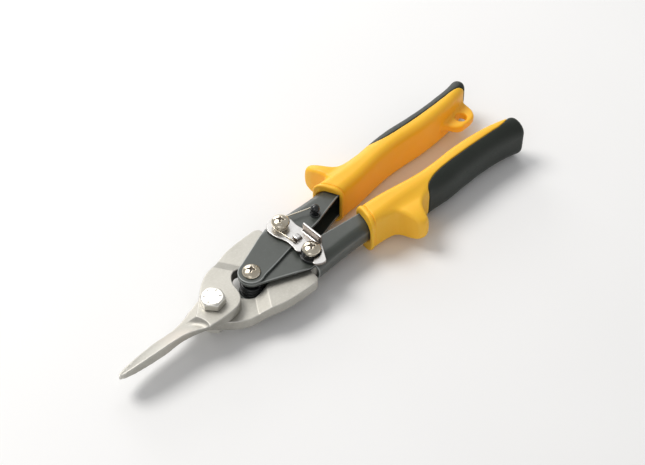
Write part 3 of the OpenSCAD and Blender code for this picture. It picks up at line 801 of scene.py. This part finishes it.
def wire(name, body, slot, nodes, path, r, at, sides=14):
    """A round wire along a path, with rounded ends."""
    p = np.array(path, float)
    t = np.gradient(p, axis=0)
    t /= np.linalg.norm(t, axis=1)[:, None]
    s = np.cross(t, [0, 0, 1.0])
    s /= np.linalg.norm(s, axis=1)[:, None]
    u = np.cross(s, t)
    rows = [(p[0] - t[0] * r * 0.55, t[0], s[0], u[0], r * 0.35), (p[0] - t[0] * r * 0.35, t[0], s[0], u[0], r * 0.78)]
    rows += [(p[i], t[i], s[i], u[i], r) for i in range(len(p))]
    rows += [(p[-1] + t[-1] * r * 0.35, t[-1], s[-1], u[-1], r * 0.78), (p[-1] + t[-1] * r * 0.55, t[-1], s[-1], u[-1], r * 0.35)]
    verts = []
    for c, _, a, b, rr in rows:
        for k in range(sides):
            w = 2 * math.pi * k / sides
            verts.append(c + rr * (math.cos(w) * a + math.sin(w) * b) + np.array(at, float))
    faces = []
    for i in range(len(rows) - 1):
        for k in range(sides):
            l = (k + 1) % sides
            faces.append((i * sides + k, i * sides + l, (i + 1) * sides + l, (i + 1) * sides + k))
    last = (len(rows) - 1) * sides
    faces.append(tuple(range(sides - 1, -1, -1)))
    faces.append(tuple(last + k for k in range(sides)))
    me = bpy.data.meshes.new(name)
    me.from_pydata([tuple(v) for v in put(verts)], [], faces)
    me.update()
    return finish_piece(me, name, body, nodes, M[slot], 50)


def hexagon(X, Y, flat):
    c, d = math.cos(math.radians(30)), math.sin(math.radians(30))
    return np.maximum(np.maximum(np.abs(Y), np.abs(X * c + Y * d)), np.abs(X * c - Y * d)) - flat


def cross_field(X, Y, Z, top):
    """The four-winged driver recess: it narrows going down, and its wings taper to their ends."""
    down = np.maximum(top - Z, 0)
    reach = 2.35 - 0.62 * down
    one = np.maximum(np.abs(Y) - (0.62 - 0.10 * np.abs(X) - 0.06 * down), np.abs(X) - reach)
    two = np.maximum(np.abs(X) - (0.62 - 0.10 * np.abs(Y) - 0.06 * down), np.abs(Y) - reach)
    return np.maximum(np.minimum(one, two), (top - 1.9) - Z)


HEAD_Z = HA + 0.3 + 1.2 + 1.6
HEAD_ZA = HEAD_Z + 1.4


def screw(name, body, nodes, at, turn, under, shank_lo, neck, bands):
    """Pan-head screw: head from z = under, neck (radius, from z), plain shank below. bands: (z, radius) rings on the neck."""
    xs, zs, X, Y, Z, R = grid(5.3, under - 0.7, under + 3.2, 0.17, 0.15)
    dome = np.sqrt(R * R + (Z - (under + 2.6 - 6.6)) ** 2) - 6.6
    F = rmax(rmax(dome, R - 4.7, 0.45), under - Z, 0.22)
    F = rmax(F, -cross_field(X, Y, Z, under + 2.6), 0.12)
    solid(name + "_head", body, "nickel", nodes, F, xs, xs, zs, at, turn=turn)
    # the floor of the recess, a dark piece that paints the shade in the slot
    xs, zs, X, Y, Z, R = grid(2.9, under + 0.3, under + 2.7, 0.14, 0.12)
    C = np.maximum(cross_field(X, Y, Z, under + 2.6) - 0.12, Z - (under + 1.75 - 0.05 * R * R))
    solid(name + "_recess_shade", body, "black_steel", [], C, xs, xs, zs, at, RECESS_SHADE, turn)
    prof = [(2.5, shank_lo + 0.5), (2.5, neck[1])]
    if neck[0] != 2.5:
        prof.append((neck[0], neck[1] + 0.01))
    for z, r in bands:
        prof += [(neck[0], z - 0.36), (r - 0.12, z - 0.30), (r, z - 0.16), (r, z + 0.16), (r - 0.12, z + 0.30), (neck[0], z + 0.36)]
    prof += [(neck[0], under + 0.2), (0.06, under + 0.2), (0.06, shank_lo), (2.0, shank_lo)]
    ring(name + "_shank", body, "nickel", [], [prof], at, 56, 30)


screw("handle_screw", "handle_b", ["handle_pivot_screw"], (PIVOT_H, 0, 0), 38, HA + 0.05, -HA - 3.2, (2.5, HA - 1), [])
screw("latch_screw", "handle_a", ["tail_screw_a"], (PIVOT_T, TAIL_Y, 0), 40, HEAD_ZA, -HA - 3.2, (2.9, HA), [])
screw("catch_screw", "handle_b", ["tail_screw_b"], (PIVOT_T, -TAIL_Y, 0), 52, HEAD_Z, -HB - 3.2, (2.1, HA),
      [(HA + 0.55, 3.2), (HA + 1.45, 2.9), (HA + 2.3, 3.1)])


def nut(name, body, nodes, at, flat, top, height, bore, turn, slot="bolt_zinc"):
    """Hexagon nut hanging from z = top, chamfered on its lower face."""
    xs, zs, X, Y, Z, R = grid(flat / math.cos(math.radians(30)) + 0.6, top - height - 0.5, top + 0.5, 0.2, 0.16)
    low = top - height
    cone = ((low + 0.9 - Z) * 1.7 + R - flat / math.cos(math.radians(30)) - 0.05) * 0.5
    F = rmax(hexagon(X, Y, flat) + 0 * Z, low - Z, 0.2)
    F = rmax(rmax(F, Z - top, 0.2), cone, 0.25)
    F = rmax(F, bore - R + 0 * Z, 0.3)
    solid(name, body, slot, nodes, F, xs, xs, zs, at, turn=turn)


nut("main_nut_forged", "blade_b", ["pivot_nut"], (0, 0, 0), 5.6, -BLADE_T, 4.6, 4.05, 8)
nut("handle_nut_pressed", "handle_b", ["handle_pivot_nut"], (PIVOT_H, 0, 0), 4.0, -HA - 0.05, 2.7, 2.55, 0)
nut("tail_nut_a_pressed", "handle_a", ["tail_nut_a"], (PIVOT_T, TAIL_Y, 0), 4.0, -HA, 2.7, 2.55, 0)
nut("tail_nut_b_pressed", "handle_b", ["tail_nut_b"], (PIVOT_T, -TAIL_Y, 0), 4.0, -HB, 2.7, 2.55, 0)

# main bolt: forged head with a washer face, chamfered corners and a few plain grade ticks
xs, zs, X, Y, Z, R = grid(7.2, 5.9, 11.6, 0.17, 0.15)
low, high = BLADE_T + 0.05, BLADE_T + 4.65
cone = ((Z - (high - 0.9)) * 1.35 + R - 6.35) * 0.6
F = rmax(rmax(hexagon(X, Y, 5.6) + 0 * Z, low + 0.35 - Z, 0.15), cone, 0.30)
F = rmax(F, Z - high, 0.30)
F = rmin(F, rmax(R - 5.3 + 0 * Z, np.abs(Z - low - 0.3) - 0.3, 0.1), 0.1)
for a in (10, 70, 130, 190, 250, 310):
    c, d = math.cos(math.radians(a)), math.sin(math.radians(a))
    u, w = X * c + Y * d, -X * d + Y * c
    F = rmax(F, -np.maximum(np.maximum(np.abs(u - 3.9) - 0.62, np.abs(w) - 0.24) + 0 * Z, high - 0.30 - Z), 0.10)
solid("bolt_head", "blade_b", "bolt_zinc", ["pivot_bolt"], F, xs, xs, zs, (0, 0, 0), turn=12)
prof = [(4.0, -11.2), (4.0, BLADE_T + 0.3), (0.08, BLADE_T + 0.3), (0.08, -12.8), (3.4, -12.8)]
thread = []
for k in range(3):
    z = -12.5 + 0.45 * k
    thread += [(3.55, z), (3.92, z + 0.22)]
ring("bolt_shank", "blade_b", "bolt_zinc", [], [prof[:-1] + [(3.3, -12.8)] + thread], (0, 0, 0), 72, 30)

# bushes, spacers and the catch's collar
ring("handle_bush_turned", "handle_b", "black_steel", ["handle_pivot_bush"], [round_ring(2.55, 4.0, -HB + 1.62, HB - 1.62, 0.2)],
     (PIVOT_H, 0, 0))
for side, half, sy in (("a", HA - WALL, 1), ("b", HB - WALL, -1)):
    at = (PIVOT_T, sy * TAIL_Y, 0)
    ring("tail_bush_" + side + "_turned", "handle_" + side, "bush_steel", ["tail_bush_" + side],
         [round_ring(2.55, 3.6, -half + 0.02, half - 0.02, 0.2)], at)
    ring("tail_rings_" + side, "handle_" + side, "black_steel", ["tail_spacers_" + side],
         [round_ring(3.63, 4.88, 3.28, half - 0.02, 0.22), round_ring(3.63, 4.88, -half + 0.02, -3.28, 0.22)], at)
ring("catch_collar_turned", "handle_b", "black_steel", ["catch_collar"], [round_ring(2.52, 6.0, HB + 0.02, HA, 0.35)],
     (PIVOT_T, -TAIL_Y, 0))

# main torsion spring
SR, RISE, TURNS, LEG = 5.2, 6.4, 3, 4.2
coil = [(53.0, -14.4, -LEG), (49.0, -12.1, -LEG), (44.0, -9.25, -LEG), (39.6, -6.4, -LEG), (38.3, -5.6, -LEG), (37.5, -5.28, -LEG),
        (36.5, -5.2, -LEG), (28, -5.2, -LEG), (18, -5.2, -LEG), (8, -5.2, -LEG), (2, -5.2, -LEG)]
for i in range(40 * TURNS + 1):
    a = math.radians(-90 - 9 * i)
    coil.append((SR * math.cos(a), SR * math.sin(a), -LEG + RISE * i / (40 * TURNS)))
wire("torsion_coil", "handle_b", "black_steel", ["main_spring"], coil, 0.95, (PIVOT_H, 0, 0))
coil = [(SR * math.cos(math.radians(90 + 9 * (37 - i))), SR * math.sin(math.radians(90 + 9 * (37 - i))), LEG) for i in range(38)]
coil += [(2, 5.2, LEG), (8, 5.2, LEG), (18, 5.2, LEG), (28, 5.2, LEG), (36.5, 5.2, LEG), (37.5, 5.28, LEG), (38.3, 5.6, LEG),
         (39.6, 6.4, LEG), (44.0, 9.25, LEG), (49.0, 12.1, LEG), (53.0, 14.4, LEG)]
wire("torsion_leg", "handle_a", "black_steel", ["main_spring_leg"], coil, 0.95, (PIVOT_H, 0, 0))

# latch: a stamped plate with a thumb tab and a raised ear
LZ, LT = HA + 0.3, 1.2
LATCH = [(47.3, 11.2), (47.6, 7.6), (48.8, 4.2), (49.6, 0.6), (49.4, -3.2), (48.9, -6.1), (50.0, -7.8), (52.6, -9.9), (54.2, -11.2, 1),
         (52.6, -15.2, 1), (51.2, -16.1), (49.6, -17.0, 1), (49.5, -17.7), (52.2, -20.4), (54.6, -20.95, 1), (55.7, -20.3, 1),
         (61.3, -11.0, 1), (61.3, -4), (61.2, 2.4), (60.6, 6.6), (60.9, 9.6), (60.9, 13.4), (58.6, 16.6), (54.2, 18.1),
         (49.8, 16.7), (47.6, 13.8)]
xs, ys, zs = axis((46.4, 62.2, 0.20)), axis((-21.8, 18.9, 0.20)), axis((LZ - 0.6, LZ + LT + 0.9, 0.16), (LZ + LT + 0.9, LZ + 7.2, 0.22))
X2, Y2 = xs[:, None].astype(float), ys[None, :].astype(float)
X3, Y3, Z3 = X2[:, :, None], Y2[:, :, None], zs[None, None, :].astype(float)
d2 = poly_sdf(spline(LATCH), X2, Y2)
d2 = np.minimum(d2, np.hypot(X2 - PIVOT_T, Y2 - TAIL_Y) - 6.95)
slots = np.maximum(2.95 - np.hypot(X2 - PIVOT_T, Y2 - TAIL_Y), 5.0 - np.hypot(X2 - PIVOT_T, Y2 + TAIL_Y))
F = rmax(d2[:, :, None] + 0 * Z3, slots[:, :, None] + 0 * Z3, 0.2)
F = rmax(rmax(F, Z3 - LZ - LT, 0.28), LZ - Z3, 0.15)
tab = rmax(np.abs(X3 - 60.75) - 0.62, np.abs(Y3 + 4.9) - 6.5 + 0 * Z3, 0.45)
tab = rmax(tab, Z3 - (LZ + 6.55), 0.4)
tab = np.maximum(tab, LZ + 0.2 - Z3)
F = rmin(F, tab, 0.7)
F = np.maximum(F, X3 - 61.4)
ear = rmax(rmax(np.abs(X3 - 54.6) - 1.9, np.abs(Y3 + 0.5) - 1.9 + 0 * Z3, 0.9), Z3 - (LZ + LT + 2.0 - 0.15 * (X3 - 54.6)), 0.85)
ear = np.maximum(ear, LZ + 0.3 - Z3)
F = rmin(F, ear, 0.35)
pit = np.maximum(np.hypot(X3 - 52.2, (Y3 + 1.9) / 1.2) - 0.85, LZ + 0.12 - Z3)
F = rmax(F, -pit, 0.18)
F = np.maximum(F, LZ - Z3)
solid("latch_stamping", "latch", "latch_nickel", ["latch_plate"], F, xs, ys, zs, (0, 0, 0), soften=0.15)

# latch spring: a few turns of thin wire under the head, one leg to the stud and one to the ear
CR, SPZ = 3.5, LZ + LT
stud = np.array([73.0 - 0.2 - PIVOT_T, 6.1 + 2.7 - TAIL_Y])
earp = np.array([52.1 - PIVOT_T, -1.7 - TAIL_Y])
sa = math.degrees(math.atan2(stud[1], stud[0])) + math.degrees(math.acos(CR / np.linalg.norm(stud)))
ea = math.degrees(math.atan2(earp[1], earp[0])) - math.degrees(math.acos(CR / np.linalg.norm(earp)))
path = [(CR * math.cos(math.radians(sa + 9 * (77 - i))), CR * math.sin(math.radians(sa + 9 * (77 - i))), 1.2 + 1.4 * (77 - i) / 77) for i in range(78)]
end = np.array(path[-1])
tip = np.array([stud[0], stud[1], 1.2])
path += [tuple(end + (tip - end) * f) for f in (0.1, 0.35, 0.65, 0.92)] + [(stud[0] + 0.6, stud[1] - 0.05, 1.2), (stud[0] + 1.1, stud[1] - 0.4, 1.2)]
wire("latch_coil", "handle_a", "nickel", ["latch_spring"], path, 0.35, (PIVOT_T, TAIL_Y, SPZ), 12)
path = [(CR * math.cos(math.radians(ea - 9 * (38 - i))), CR * math.sin(math.radians(ea - 9 * (38 - i))), 0.37) for i in range(39)]
end = np.array(path[-1])
tip = np.array([earp[0], earp[1], 0.37])
path += [tuple(end + (tip - end) * f) for f in (0.1, 0.4, 0.7, 1.0)]
wire("latch_leg", "latch", "nickel", ["latch_spring_leg"], path, 0.35, (PIVOT_T, TAIL_Y, SPZ), 12)

# stud: a ball on a neck and a collar, riveted through handle A's wall
prof = [(0.05, HA - WALL - 0.6), (2.1, HA - WALL - 0.6), (2.4, HA - WALL - 0.35), (2.4, HA - WALL), (1.58, HA - WALL + 0.01),
        (1.58, HA - 0.01), (2.5, HA), (2.7, HA + 0.2), (2.7, HA + 0.8), (2.5, HA + 1.05), (1.4, HA + 1.1), (1.3, HA + 1.6)]
for k in range(15):
    a = math.radians(-56 + 146 * k / 14)
    prof.append((max(2.45 * math.cos(a), 0.05), HA + 3.95 + 2.45 * math.sin(a)))
ring("ball_stud", "handle_a", "black_steel", ["latch_stud"], [prof], (73.0, 6.1, 0), 64, 40)

# ---------------------------------------------------------------- floor, light and camera
fm = Mat("floor_paper", Roughness=0.9, Specular_IOR_Level=0.2)
fm.colour(fm.ramp(fm.noise(6, 2), [(0.3, (0.86, 0.86, 0.86)), (0.7, (0.88, 0.88, 0.88))]))
bm = bmesh.new()
bmesh.ops.create_grid(bm, x_segments=2, y_segments=2, size=3.0)
me = bpy.data.meshes.new("floor")
bm.to_mesh(me)
bm.free()
floor = bpy.data.objects.new("floor", me)
floor.location.z = -0.0002
me.materials.append(fm.m)
scene.collection.objects.link(floor)

world = bpy.data.worlds.new("studio")
scene.world = world
world.use_nodes = True
bg = world.node_tree.nodes["Background"]
bg.inputs[0].default_value = (1.0, 1.0, 1.0, 1)
bg.inputs[1].default_value = 0.42


def lamp(name, loc, target, size, power, colour=(1, 1, 1), size_y=None):
    li = bpy.data.lights.new(name, "AREA")
    li.shape = "RECTANGLE" if size_y else "DISK"
    li.size = size
    if size_y:
        li.size_y = size_y
    li.energy = power
    li.color = colour
    ob = bpy.data.objects.new(name, li)
    ob.location = loc
    ob.rotation_euler = (Vector(target) - Vector(loc)).to_track_quat("-Z", "Y").to_euler()
    scene.collection.objects.link(ob)
    return ob


lamp("key", (-0.25, 0.75, 1.15), (0, 0, 0), 0.7, 12.5, (1.0, 0.98, 0.95))
lamp("fill", (-0.9, -0.5, 0.8), (0, 0, 0), 0.8, 1.4, (0.98, 0.98, 1.0))
lamp("back", (0.78, 0.82, 1.25), (0, 0, 0), 1.0, 3.0)
lamp("low", (0.5, 1.3, 0.42), (0, 0, 0), 0.9, 5.0)

cam = bpy.data.objects.new("camera", bpy.data.cameras.new("camera"))
scene.collection.objects.link(cam)
scene.camera = cam
cam.data.sensor_width = 36.0
cam.data.lens = 83.05
cam.data.clip_start, cam.data.clip_end = 0.01, 20
look = Vector((0.4551, 0.4780, -0.7513)).normalized()
cam.location = (-0.3379, -0.3584, 0.5763)
cam.rotation_euler = look.to_track_quat("-Z", "Y").to_euler()
scene.view_settings.view_transform = "Standard"
